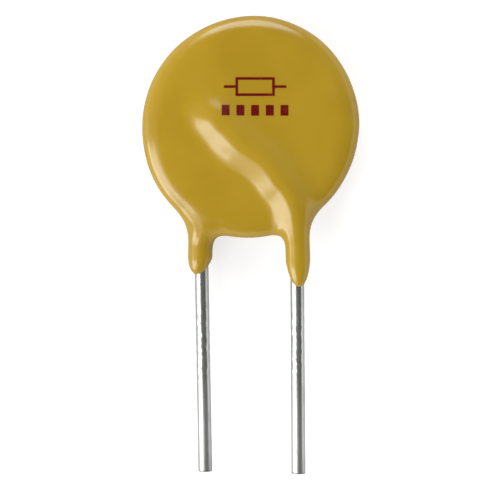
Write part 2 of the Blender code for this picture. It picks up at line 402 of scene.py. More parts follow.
def fine_grain_group() -> bpy.types.NodeTree:
    """Cloudy tone, fine grain and small specks, for what is moulded, dipped or printed.

    Returns:
        The group, with the outputs Cloud, Grain and Speck.
    """
    tree = start_group(
        "Fine grain",
        (("Cloud Scale", 300.0), ("Grain Scale", 4000.0), ("Speck Scale", 900.0), ("Speck Size", 0.06)),
        ("Cloud", "Grain", "Speck"),
    )
    bare_share = 0.72
    board = NodeBoard(tree)
    given = board.add("NodeGroupInput")
    result = board.add("NodeGroupOutput")
    lay_noises(board, given, result, (("Cloud", 3.0), ("Grain", 4.0)))
    cells = board.add("ShaderNodeTexVoronoi", feature="F1")
    board.join(given.outputs["Place"], cells.inputs["Vector"])
    board.join(given.outputs["Speck Scale"], cells.inputs["Scale"])
    near = board.math("LESS_THAN", cells.outputs["Distance"], given.outputs["Speck Size"])
    split = board.add("ShaderNodeSeparateColor")
    board.join(cells.outputs["Color"], split.inputs["Color"])
    chosen = board.math("GREATER_THAN", split.outputs["Red"], bare_share)
    board.join(board.math("MULTIPLY", near, chosen), result.inputs["Speck"])
    return tree


def drawn_streak_group() -> bpy.types.NodeTree:
    """Long fine streaks with softer bands, for drawn wire, rolled foil and wiped solder.

    Returns:
        The group, with the outputs Streak and Band.
    """
    tree = start_group(
        "Drawn streaks",
        (("Streak Scale", 9000.0), ("Band Scale", 1500.0)),
        ("Streak", "Band"),
    )
    board = NodeBoard(tree)
    given = board.add("NodeGroupInput")
    result = board.add("NodeGroupOutput")
    lay_noises(board, given, result, (("Streak", 2.0), ("Band", 1.0)))
    return tree


class Finish:
    """Base of the finishes: starts a material and places the shared groups."""

    name: str

    def start(self) -> tuple[bpy.types.Material, NodeBoard, bpy.types.Node, bpy.types.NodeSocket]:
        """Make an empty Principled material.

        Returns:
            The material, its board, the shader and the object coordinates' socket.
        """
        material = bpy.data.materials.new(self.name)
        material.use_nodes = True
        board = NodeBoard(material.node_tree)
        shader = material.node_tree.nodes["Principled BSDF"]
        place = board.add("ShaderNodeTexCoord").outputs["Object"]
        return material, board, shader, place

    @staticmethod
    def shared(name: str, maker: Callable[[], bpy.types.NodeTree]) -> bpy.types.NodeTree:
        """Find a shared group, or make it the first time.

        Args:
            name: The group's name.
            maker: The function that makes it.

        Returns:
            The group's tree.
        """
        return bpy.data.node_groups.get(name) or maker()

    def place_group(
        self,
        board: NodeBoard,
        tree: bpy.types.NodeTree,
        place: bpy.types.NodeSocket,
        values: dict[str, float],
    ) -> bpy.types.Node:
        """Put a shared group into a material with its own values.

        Args:
            board: The material's board.
            tree: The group.
            place: The coordinates that it reads.
            values: A value for each named input.

        Returns:
            The group's node.
        """
        node = board.add("ShaderNodeGroup", node_tree=tree)
        board.join(place, node.inputs["Place"])
        for label, value in values.items():
            node.inputs[label].default_value = value
        return node

    def grain(
        self, board: NodeBoard, place: bpy.types.NodeSocket, values: dict[str, float]
    ) -> bpy.types.Node:
        """Place the fine grain group with its own values."""
        return self.place_group(board, self.shared("Fine grain", fine_grain_group), place, values)

    def streaks(
        self, board: NodeBoard, place: bpy.types.NodeSocket, values: dict[str, float]
    ) -> bpy.types.Node:
        """Place the drawn streaks group with its own values."""
        return self.place_group(board, self.shared("Drawn streaks", drawn_streak_group), place, values)


@dataclass(frozen=True)
class DippedEpoxyFinish(Finish):
    """Mustard dip coating: glossy, faintly clouded, with orange peel and rare pinholes."""

    name: str = "mustard_dip_coating"
    light: tuple[float, float, float] = (0.458, 0.288, 0.015)
    deep: tuple[float, float, float] = (0.420, 0.259, 0.011)
    smoothest: float = 0.16
    roughest: float = 0.24
    peel_scale: float = 900.0
    peel_height: float = 0.012 * MM
    grain_share: float = 0.08
    pinhole_depth: float = 0.6
    index: float = 1.62

    def build(self) -> bpy.types.Material:
        """Build the material.

        Returns:
            The finished material.
        """
        material, board, shader, place = self.start()
        grain = self.grain(
            board,
            place,
            {"Cloud Scale": 260.0, "Grain Scale": 5200.0, "Speck Scale": 1100.0, "Speck Size": 0.045},
        )
        tone = board.spread(grain.outputs["Cloud"], 0.35, 0.65, 1.0, 0.0)
        colour = board.blend(tone, self.light, self.deep)
        board.join(colour, shader.inputs["Base Color"])
        rough = board.spread(grain.outputs["Grain"], 0.3, 0.7, self.smoothest, self.roughest)
        board.join(rough, shader.inputs["Roughness"])
        peel = board.noise(place, self.peel_scale, 2.0, 0.45)
        lifted = board.math("ADD", peel, board.math("MULTIPLY", grain.outputs["Grain"], self.grain_share))
        pinholes = board.math("MULTIPLY", grain.outputs["Speck"], self.pinhole_depth)
        height = board.math("SUBTRACT", lifted, pinholes)
        board.join(board.bump(height, self.peel_height, 1.0), shader.inputs["Normal"])
        shader.inputs["IOR"].default_value = self.index
        return material


@dataclass(frozen=True)
class TinnedWireFinish(Finish):
    """Tinned copper wire, drawn lengthwise: bright, with fine streaks and soft dull bands.

    It is rougher toward the cut end, below handled_high in Y, where it was handled.
    """

    name: str = "tinned_copper_wire"
    bright: tuple[float, float, float] = (0.74, 0.75, 0.73)
    dull: tuple[float, float, float] = (0.60, 0.61, 0.58)
    tint: tuple[float, float, float] = (0.55, 0.56, 0.55)
    smoothest: float = 0.21
    roughest: float = 0.29
    dull_roughness: float = 0.05
    handled_low: float = -12.0 * MM
    handled_high: float = -6.0 * MM
    handled_roughness: float = 0.16
    drawing: float = 0.035
    streak_height: float = 0.004 * MM

    def build(self) -> bpy.types.Material:
        """Build the material.

        Returns:
            The finished material.
        """
        material, board, shader, place = self.start()
        along = board.stretch(place, (1.0, self.drawing, 1.0))
        streaks = self.streaks(board, along, {"Streak Scale": 9000.0, "Band Scale": 2200.0})
        cloud = board.noise(place, 420.0, 3.0)
        dulling = board.spread(cloud, 0.42, 0.68, 0.0, 1.0)
        board.join(board.blend(dulling, self.bright, self.dull), shader.inputs["Base Color"])
        base = board.spread(streaks.outputs["Band"], 0.3, 0.7, self.smoothest, self.roughest)
        rough = board.math("ADD", base, board.math("MULTIPLY", dulling, self.dull_roughness))
        parts = board.add("ShaderNodeSeparateXYZ")
        board.join(place, parts.inputs[0])
        handled = board.spread(parts.outputs["Y"], self.handled_low, self.handled_high, 1.0, 0.0)
        rough = board.math("ADD", rough, board.math("MULTIPLY", handled, self.handled_roughness))
        board.join(rough, shader.inputs["Roughness"])
        height = board.math("ADD", streaks.outputs["Streak"], board.math("MULTIPLY", cloud, 0.5))
        board.join(board.bump(height, self.streak_height, 0.6), shader.inputs["Normal"])
        shader.inputs["Metallic"].default_value = 1.0
        shader.inputs["Specular Tint"].default_value = (*self.tint, 1.0)
        return material


@dataclass(frozen=True)
class MarkingInkFinish(Finish):
    """Dark red marking ink, a little uneven where the stamp pressed less."""

    name: str = "dark_red_ink"
    full: tuple[float, float, float] = (0.130, 0.001, 0.002)
    thin: tuple[float, float, float] = (0.200, 0.022, 0.004)
    grain_height: float = 0.002 * MM
    index: float = 1.3

    def build(self) -> bpy.types.Material:
        """Build the material.

        Returns:
            The finished material.
        """
        material, board, shader, place = self.start()
        grain = self.grain(
            board,
            place,
            {"Cloud Scale": 2600.0, "Grain Scale": 9000.0, "Speck Scale": 6000.0, "Speck Size": 0.16},
        )
        worn = board.spread(grain.outputs["Cloud"], 0.52, 0.8, 0.0, 0.8)
        missed = board.math("MAXIMUM", worn, board.math("MULTIPLY", grain.outputs["Speck"], 0.7))
        board.join(board.blend(missed, self.full, self.thin), shader.inputs["Base Color"])
        rough = board.spread(grain.outputs["Grain"], 0.3, 0.7, 0.38, 0.52)
        board.join(rough, shader.inputs["Roughness"])
        board.join(board.bump(grain.outputs["Grain"], self.grain_height, 0.5), shader.inputs["Normal"])
        shader.inputs["IOR"].default_value = self.index
        return material


@dataclass(frozen=True)
class CarbonPolymerFinish(Finish):
    """Pressed sheet of carbon filled polymer: black, matte and faintly mottled."""

    name: str = "carbon_filled_polymer"
    dark: tuple[float, float, float] = (0.010, 0.010, 0.011)
    pale: tuple[float, float, float] = (0.026, 0.026, 0.028)
    grain_height: float = 0.006 * MM

    def build(self) -> bpy.types.Material:
        """Build the material.

        Returns:
            The finished material.
        """
        material, board, shader, place = self.start()
        grain = self.grain(
            board,
            place,
            {"Cloud Scale": 900.0, "Grain Scale": 12000.0, "Speck Scale": 5000.0, "Speck Size": 0.2},
        )
        mottle = board.spread(grain.outputs["Cloud"], 0.35, 0.7, 0.0, 1.0)
        board.join(board.blend(mottle, self.dark, self.pale), shader.inputs["Base Color"])
        board.join(board.spread(grain.outputs["Grain"], 0.3, 0.7, 0.55, 0.8), shader.inputs["Roughness"])
        board.join(board.bump(grain.outputs["Grain"], self.grain_height, 0.8), shader.inputs["Normal"])
        return material


@dataclass(frozen=True)
class RolledFoilFinish(Finish):
    """Nickel faced foil, rolled one way."""

    name: str = "rolled_nickel_foil"
    bright: tuple[float, float, float] = (0.58, 0.55, 0.49)
    dull: tuple[float, float, float] = (0.42, 0.40, 0.36)
    rolling: float = 0.05
    streak_height: float = 0.003 * MM

    def build(self) -> bpy.types.Material:
        """Build the material.

        Returns:
            The finished material.
        """
        material, board, shader, place = self.start()
        along = board.stretch(place, (1.0, self.rolling, 1.0))
        streaks = self.streaks(board, along, {"Streak Scale": 7000.0, "Band Scale": 1200.0})
        dulling = board.spread(streaks.outputs["Band"], 0.35, 0.7, 0.0, 1.0)
        board.join(board.blend(dulling, self.bright, self.dull), shader.inputs["Base Color"])
        board.join(board.spread(streaks.outputs["Streak"], 0.3, 0.7, 0.3, 0.46), shader.inputs["Roughness"])
        board.join(board.bump(streaks.outputs["Streak"], self.streak_height, 0.7), shader.inputs["Normal"])
        shader.inputs["Metallic"].default_value = 1.0
        return material


@dataclass(frozen=True)
class SolderFinish(Finish):
    """Solder that froze dull, with a coarse grain."""

    name: str = "frozen_solder"
    bright: tuple[float, float, float] = (0.60, 0.61, 0.62)
    dull: tuple[float, float, float] = (0.38, 0.39, 0.40)
    grain_height: float = 0.010 * MM

    def build(self) -> bpy.types.Material:
        """Build the material.

        Returns:
            The finished material.
        """
        material, board, shader, place = self.start()
        grain = self.grain(
            board,
            place,
            {"Cloud Scale": 1800.0, "Grain Scale": 8000.0, "Speck Scale": 3000.0, "Speck Size": 0.1},
        )
        dulling = board.spread(grain.outputs["Cloud"], 0.35, 0.65, 0.0, 1.0)
        board.join(board.blend(dulling, self.bright, self.dull), shader.inputs["Base Color"])
        board.join(board.spread(grain.outputs["Grain"], 0.3, 0.7, 0.3, 0.55), shader.inputs["Roughness"])
        board.join(board.bump(grain.outputs["Cloud"], self.grain_height, 0.6), shader.inputs["Normal"])
        shader.inputs["Metallic"].default_value = 1.0
        return material


@dataclass(frozen=True)
class LeadRoute:
    """Centre line of one lead: a slanted run on the chip, a bend, and a straight leg."""

    side: Side
    corner_x: float
    corner_y: float
    height: float
    splay: float
    slant_run: float = 6.30 * MM
    slant_angle: float = math.radians(45.0)
    bend_radius: float = 3.20 * MM
    reach: float = 20.45 * MM

    @property
    def corner(self) -> Vector:
        """Where the lines of the slanted run and the leg would meet."""
        return Vector((self.corner_x, self.corner_y, self.side.value * self.height))

    @property
    def slant(self) -> Vector:
        """Direction from the corner up the slanted run."""
        return Vector((-self.side.value * math.sin(self.slant_angle), math.cos(self.slant_angle), 0.0))

    @property
    def leg(self) -> Vector:
        """Direction from the corner down the leg."""
        return Vector((math.sin(self.splay), -math.cos(self.splay), 0.0))

    @property
    def turn(self) -> float:
        """Angle between the slanted run and the leg's own line."""
        return self.slant.angle(-self.leg)

    @property
    def bend_centre(self) -> Vector:
        """Centre of the bend's arc."""
        inward = (self.slant + self.leg).normalized()
        return self.corner + inward * (self.bend_radius / math.cos(self.turn / 2))

    @property
    def bend_start(self) -> Vector:
        """Where the bend leaves the leg."""
        return self.corner + self.leg * (self.bend_radius * math.tan(self.turn / 2))

    @property
    def turning(self) -> float:
        """1.0 if the bend turns to the left on the way up from the leg, -1.0 if to the right."""
        arm = self.bend_start - self.bend_centre
        return 1.0 if arm.cross(-self.leg).z > 0 else -1.0

    @property
    def tip(self) -> Vector:
        """Middle of the cut end."""
        return self.corner + self.leg * ((self.reach + self.corner_y) / -self.leg.y)

    @property
    def chip_end(self) -> Vector:
        """Middle of the end that lies on the chip."""
        return self.corner + self.slant * self.slant_run

    def line(self, bend_steps: int) -> np.ndarray:
        """The centre line as a run of points.

        Args:
            bend_steps: How many straight pieces stand for the bend.

        Returns:
            One row of x, y and z for each point, from the chip to the cut end.
        """
        arm = self.bend_start - self.bend_centre
        points = [self.tip]
        for step in range(bend_steps + 1):
            spin = Matrix.Rotation(self.turning * self.turn * step / bend_steps, 3, "Z")
            points.append(self.bend_centre + spin @ arm)
        points.append(self.chip_end)
        return np.array([tuple(point) for point in reversed(points)])


@dataclass(frozen=True)
class Neck:
    """Coating that runs down one lead and thins to a slanting end.

    Attributes:
        route: The lead that it follows.
        reach: How far below the middle of the chip it ends.
        taper: Length of its rounded end, where a ball's would be the neck's radius.
        slope: How much lower it ends toward the right.
        tongue: How much lower it ends toward the front.
        drift: How far its end stands to the right of the wire.
        onset: Length over which the thinning sets in.
    """

    route: LeadRoute
    reach: float
    taper: float
    slope: float
    tongue: float
    drift: float
    onset: float = 0.55 * MM

    def start(self, neck_radius: float, wire_radius: float) -> float:
        """Find the height at which the neck begins to thin.

        Args:
            neck_radius: Outer radius of the neck above that height.
            wire_radius: Radius of the bare wire.

        Returns:
            The height for which the neck's tip ends at its reach.
        """
        squeeze = 1 - neck_radius / self.taper
        rest = math.sqrt(neck_radius**2 - wire_radius**2)
        run = (rest + squeeze * (self.tongue * wire_radius - self.onset / 2)) / (1 - squeeze)
        return run - self.reach


@dataclass
class DippedCoating:
    """The dipped coating: a pill shaped disc, draped over both leads and down their necks.

    Its skin is where a distance field is 0. A cage of even cells is modelled first and then
    settled on that skin.

    Attributes:
        crown: How far each face bulges in its middle.
        sag: How far the drained coating hangs at the bottom.
        lean: How far it hangs to the left there.
        rise: How far the disc stands proud at the top, toward rise_angle.
        edge_softness: Sets how far in from the rim the rounding begins.
        wire_coat: Thickness of the coating round a wire.
        end_thinning: How much thinner it is over the wire's buried end, within end_fade.
        end_draw: Below 1, it draws the ridge out beyond that end.
        bow: How far the ridge bows outward above the bend, within bow_run.
        blend: Width of the fillet between disc and lead.
        spread: How much wider it is up the slant, from spread_from on over spread_run.
        ripple: Height of the slow ripples.
        probe: Step by which the slope of the field is measured.
    """

    necks: Sequence[Neck]
    wire_radius: float
    radius: float = 6.40 * MM
    half_thickness: float = 0.80 * MM
    crown: float = 0.22 * MM
    sag: float = 0.20 * MM
    lean: float = 0.22 * MM
    rise: float = 0.13 * MM
    rise_angle: float = math.radians(66.0)
    edge_softness: float = 1.30 * MM
    wire_coat: float = 0.315 * MM
    end_thinning: float = 0.12 * MM
    end_fade: float = 1.30 * MM
    end_draw: float = 0.65
    bow: float = 0.20 * MM
    bow_run: float = 3.40 * MM
    blend: float = 1.10 * MM
    spread: float = 0.28 * MM
    spread_from: float = -3.60 * MM
    spread_run: float = 1.60 * MM
    ripple: float = 0.004 * MM
    ripple_count: int = 9
    ripple_short: float = 1.6 * MM
    ripple_long: float = 4.5 * MM
    ripple_depth: float = 0.6
    seed: int = 7
    bend_steps: int = 16
    probe: float = 0.004 * MM
    least_slope: float = 0.05
    cells: int = 28
    rim_rows: int = 10
    neck_rows: int = 9
    cage_fullness: float = 1.3
    patch_width: float = 1.15
    patch_rim: float = 0.93
    patch_low: float = 0.3
    relax_rounds: int = 16
    relax_share: float = 0.5
    settling_before: int = 3
    settling_between: int = 2
    settling_after: int = 4
    refine_levels: int = 2
    waves: np.ndarray = field(init=False)

    def __post_init__(self) -> None:
        """Choose the slow waves that keep the skin from being perfectly even."""
        rng = np.random.default_rng(self.seed)
        lengths = rng.uniform(self.ripple_short, self.ripple_long, self.ripple_count)
        angles = rng.uniform(0.0, math.pi, self.ripple_count)
        phases = rng.uniform(0.0, 2 * math.pi, self.ripple_count)
        self.waves = np.column_stack((lengths, angles, phases))

    @property
    def neck_radius(self) -> float:
        """Outer radius of the coating round a wire."""
        return self.wire_radius + self.wire_coat

    @property
    def edge_run(self) -> float:
        """How far the rounding of the edge reaches in from the rim."""
        if self.edge_softness < self.half_thickness:
            return self.half_thickness
        return 2 * math.sqrt(self.edge_softness * self.half_thickness) - self.edge_softness

    def blend_width(self, points: np.ndarray) -> np.ndarray:
        """Width of the blend between disc and lead, broader up the slanted run than at the necks.

        Args:
            points: Points about the middle of the chip.

        Returns:
            One width for each point.
        """
        above = np.clip((points[:, 1] - self.spread_from) / self.spread_run, 0, 1)
        return self.blend + self.spread * above**2 * (3 - 2 * above)

    @staticmethod
    def merged(first: np.ndarray, second: np.ndarray, width: np.ndarray) -> np.ndarray:
        """Run two distance fields together.

        Args:
            first: Distances from one form.
            second: Distances from the other.
            width: How far apart they may be and still blend.

        Returns:
            Distances from both, smoothly joined.
        """
        near = np.clip(width - np.abs(first - second), 0, None) / width
        return np.minimum(first, second) - near * near * width / 4

    def disc_distance(self, points: np.ndarray) -> np.ndarray:
        """Distance from the pill shaped disc.

        Args:
            points: Points about the middle of the chip.

        Returns:
            One distance for each point.
        """
        radial = np.hypot(points[:, 0], points[:, 1])
        below = np.clip(-points[:, 1] / self.radius, 0, 1)
        leaned = np.hypot(points[:, 0] + self.lean * below, points[:, 1])
        toward = points[:, 0] * math.cos(self.rise_angle) + points[:, 1] * math.sin(self.rise_angle)
        above = np.clip(toward / self.radius, 0, 1)
        flat = self.radius + self.sag * below**2 + self.rise * above**4 - self.edge_run
        crown = self.crown * np.clip(1 - (radial / self.radius) ** 2, 0, 1)
        past = leaned - flat
        easing = np.clip(past + self.edge_softness, 0, None) ** 2 / (4 * self.edge_softness)
        rounding = np.where(past < self.edge_softness, easing, past)
        return np.hypot(rounding, points[:, 2]) - self.half_thickness - crown

    def coat_radius(self, from_end: np.ndarray) -> np.ndarray:
        """Outer radius of the coating over a lead, thinner at the end that lies on the chip.

        Args:
            from_end: Distances along the slanted run from that end.

        Returns:
            One radius for each distance.
        """
        fading = np.cos(np.clip(from_end / self.end_fade, 0, 1) * math.pi / 2) ** 2
        return self.neck_radius - self.end_thinning * fading

    def slant_distance(self, points: np.ndarray, end: np.ndarray, bend: np.ndarray) -> np.ndarray:
        """Distance from the coating over a slanted run.

        It is drawn out beyond the end of the wire and bows outward above the bend.

        Args:
            points: Points about the middle of the chip.
            end: Where the wire ends on the chip.
            bend: Where the wire begins to bend into its leg.

        Returns:
            One distance for each point.
        """
        run = np.linalg.norm(bend - end)
        forward = (bend - end) / run
        outward = np.array([abs(forward[1]) * np.sign(forward[0]), abs(forward[0]), 0.0])
        along = (points - end) @ forward
        held = np.clip(along, 0, run)
        away = points - end - along[:, None] * forward
        bowed = self.bow * np.sin(math.pi * np.clip((run - held) / self.bow_run, 0, 1)) ** 2
        aside = np.hypot(away @ outward - bowed, away[:, 2])
        beyond = (along - held) * np.where(along < 0, self.end_draw, 1.0)
        return np.hypot(aside, beyond) - self.coat_radius(held)

    def neck_distance(self, points: np.ndarray, neck: Neck) -> np.ndarray:
        """Distance from the coating that lies over one lead.

        Args:
            points: Points about the middle of the chip.
            neck: The lead's neck.

        Returns:
            One distance for each point.
        """
        line = neck.route.line(self.bend_steps)
        start = neck.start(self.neck_radius, self.wire_radius)
        axis_x = np.interp(-points[:, 1], -line[-2:, 1], line[-2:, 0])
        above = points[:, 2] - line[-1, 2]
        depth = start + neck.slope * (points[:, 0] - axis_x) + neck.tongue * above - points[:, 1]
        rising = np.clip(depth, 0, neck.onset) ** 2 / (2 * neck.onset)
        eased = np.where(depth < neck.onset, rising, depth - neck.onset / 2)
        moved = points.copy()
        moved[:, 1] += eased * (1 - self.neck_radius / neck.taper)
        share = (start - line[-2, 1]) / (line[-1, 1] - line[-2, 1])
        line[-1] = line[-2] + (line[-1] - line[-2]) * share
        line[-1, 0] += neck.drift
        nearest = self.slant_distance(moved, line[0], line[1])
        for a, b in zip(line[1:-1], line[2:]):
            span = b - a
            along = np.clip((moved - a) @ span / (span @ span), 0, 1)
            away = np.linalg.norm(moved - a - along[:, None] * span, axis=1)
            nearest = np.minimum(nearest, away - self.neck_radius)
        return nearest

    def unevenness(self, points: np.ndarray) -> np.ndarray:
        """Slow ripples of the drained coating.

        Args:
            points: Points about the middle of the chip.

        Returns:
            How far the skin stands proud at each point.
        """
        total = np.zeros(len(points))
        for length, angle, phase in self.waves:
            along = points @ np.array((math.cos(angle), math.sin(angle), self.ripple_depth))
            total += np.sin(2 * math.pi * along / length + phase)
        return self.ripple * total / math.sqrt(self.ripple_count)

    def distance(self, points: np.ndarray) -> np.ndarray:
        """Distance from the whole skin.

        Args:
            points: Points about the middle of the chip.

        Returns:
            One distance for each point, below 0 inside.
        """
        skin = self.disc_distance(points)
        width = self.blend_width(points)
        for neck in self.necks:
            skin = self.merged(skin, self.neck_distance(points, neck), width)
        return skin - self.unevenness(points)

    def settled(
        self, points: np.ndarray, rounds: int, level: float | np.ndarray = 0.0, upward: bool = False
    ) -> np.ndarray:
        """Move points along the slope of the distance until they lie on the skin.

        Args:
            points: Points about the middle of the chip.
            rounds: How many steps to take.
            level: How far proud of the skin the points should end.
            upward: Whether they may only move along Z.

        Returns:
            The moved points.
        """
        points = points.copy()
        for _ in range(rounds):
            value = self.distance(points) - level
            slope = np.zeros_like(points)
            for axis in (2,) if upward else (0, 1, 2):
                offset = np.zeros(3)
                offset[axis] = self.probe
                change = self.distance(points + offset) - self.distance(points - offset)
                slope[:, axis] = change / (2 * self.probe)
            size = np.clip((slope**2).sum(axis=1), self.least_slope, None)
            points -= slope * (value / size)[:, None]
        return points

    def cage(self) -> bpy.types.Object:
        """A box, cut into rows and rounded into a flat pill with its rows along the slants.

        Returns:
            The cage object.
        """

        def upright(edge: bmesh.types.BMEdge) -> bool:
            """Whether an edge of the box runs up its side."""
            return abs(edge.verts[0].co.z - edge.verts[1].co.z) > ALIGNED

        put_down()
        bpy.ops.mesh.primitive_cube_add(size=2.0, location=(0.0, 0.0, 0.0))
        cage = bpy.context.active_object
        with editing(cage):
            pick(cage, Element.EDGE, lambda edge: not upright(edge))
            bpy.ops.mesh.subdivide(number_cuts=self.cells - 1)
            pick(cage, Element.EDGE, upright)
            bpy.ops.mesh.subdivide(number_cuts=self.rim_rows - 1)
            bpy.ops.mesh.select_all(action="SELECT")
            bpy.ops.transform.tosphere(value=1.0)
            eighth = math.radians(45.0)
            bpy.ops.transform.rotate(value=eighth, orient_axis="Z", center_override=(0.0, 0.0, 0.0))
            height = self.half_thickness * self.cage_fullness
            bpy.ops.transform.resize(value=(self.radius, self.radius, height))
        return cage

    def draw_neck(self, cage: bpy.types.Object, neck: Neck) -> None:
        """Pull a patch of the rim down into a neck, ring by ring.

        Args:
            cage: The pill shaped cage.
            neck: The neck to draw.
        """
        route = neck.route
        side = route.side.value

        def on_patch(face: bmesh.types.BMFace) -> bool:
            """Whether a face of the rim lies above the lead."""
            middle = face.calc_center_median()
            if middle.y > 0 or abs(middle.x - route.corner_x) > self.patch_width * self.neck_radius:
                return False
            outer = math.hypot(middle.x, middle.y) > self.patch_rim * self.radius
            return outer and side * middle.z > -self.patch_low * self.half_thickness

        rim = -math.sqrt(self.radius**2 - route.corner_x**2)
        drop = (-neck.reach - rim) / self.neck_rows
        with editing(cage):
            pick(cage, Element.FACE, on_patch)
            for row in range(self.neck_rows):
                bpy.ops.mesh.extrude_region_move(TRANSFORM_OT_translate={"value": (0.0, 0.0, 0.0)})
                mesh = bmesh.from_edit_mesh(cage.data)
                ring = [vert for vert in mesh.verts if vert.select]
                middle = sum((vert.co for vert in ring), Vector()) / len(ring)
                y = rim + drop * (row + 1)
                share = (y - route.corner.y) / route.leg.y
                target = Vector((route.corner_x + route.leg.x * share, y, side * route.height))
                if row == 0:
                    for vert in ring:
                        vert.co.y = middle.y
                    bmesh.update_edit_mesh(cage.data)
                bpy.ops.transform.translate(value=tuple(target - middle))

    def relax(self, cage: bpy.types.Object) -> None:
        """Even out the cage's cells while it keeps to the skin.

        Args:
            cage: The cage with both necks drawn.
        """
        move_points(cage, self.settled(points_of(cage), self.settling_before))
        for _ in range(self.relax_rounds):
            with editing(cage):
                bpy.ops.mesh.select_all(action="SELECT")
                bpy.ops.mesh.vertices_smooth(factor=self.relax_share)
            move_points(cage, self.settled(points_of(cage), self.settling_between))

    def build(self, finish: DippedEpoxyFinish, shift: Vector) -> bpy.types.Object:
        """Model the coating and put it in place.

        Args:
            finish: What it is made of.
            shift: The middle of the chip in the row's frame.

        Returns:
            The finished piece.
        """
        skin = self.cage()
        for neck in self.necks:
            self.draw_neck(skin, neck)
        self.relax(skin)
        refine(skin, self.refine_levels)
        move_points(skin, self.settled(points_of(skin), self.settling_after))
        with editing(skin):
            bpy.ops.mesh.select_all(action="SELECT")
            bpy.ops.mesh.normals_make_consistent(inside=False)
        piece = finish_piece(skin, "dipped_coating", finish.build(), shift, SKIN_SHARP_DEG)
        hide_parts("coating")
        return piece


@dataclass(frozen=True)
class Wave:
    """One wave in the surface of a wire.

    Attributes:
        length: How far down the leg it moves on by one radian.
        turns: How many times it repeats round the wire.
        start: Its phase, the same on both leads.
        own: How many times the lead's own phase is added.
        share: Its height among the other waves.
    """

    length: float
    turns: float = 0.0
    start: float = 0.0
    own: float = 0.0
    share: float = 1.0

    def height(self, y: np.ndarray, around: np.ndarray, phase: float) -> np.ndarray:
        """How high the wave stands at each point.

        Args:
            y: Positions down the leg.
            around: Angles about the wire's centre line.
            phase: Makes one lead differ from the other.

        Returns:
            One height for each point, up to the wave's share.
        """
        return self.share * np.sin(y / self.length + self.turns * around + self.start + self.own * phase)


@dataclass(frozen=True)
class Dent:
    """One nick in a wire: its place down the leg and round it, its reach and its depth."""

    place: float
    angle_deg: float
    reach: float
    depth: float


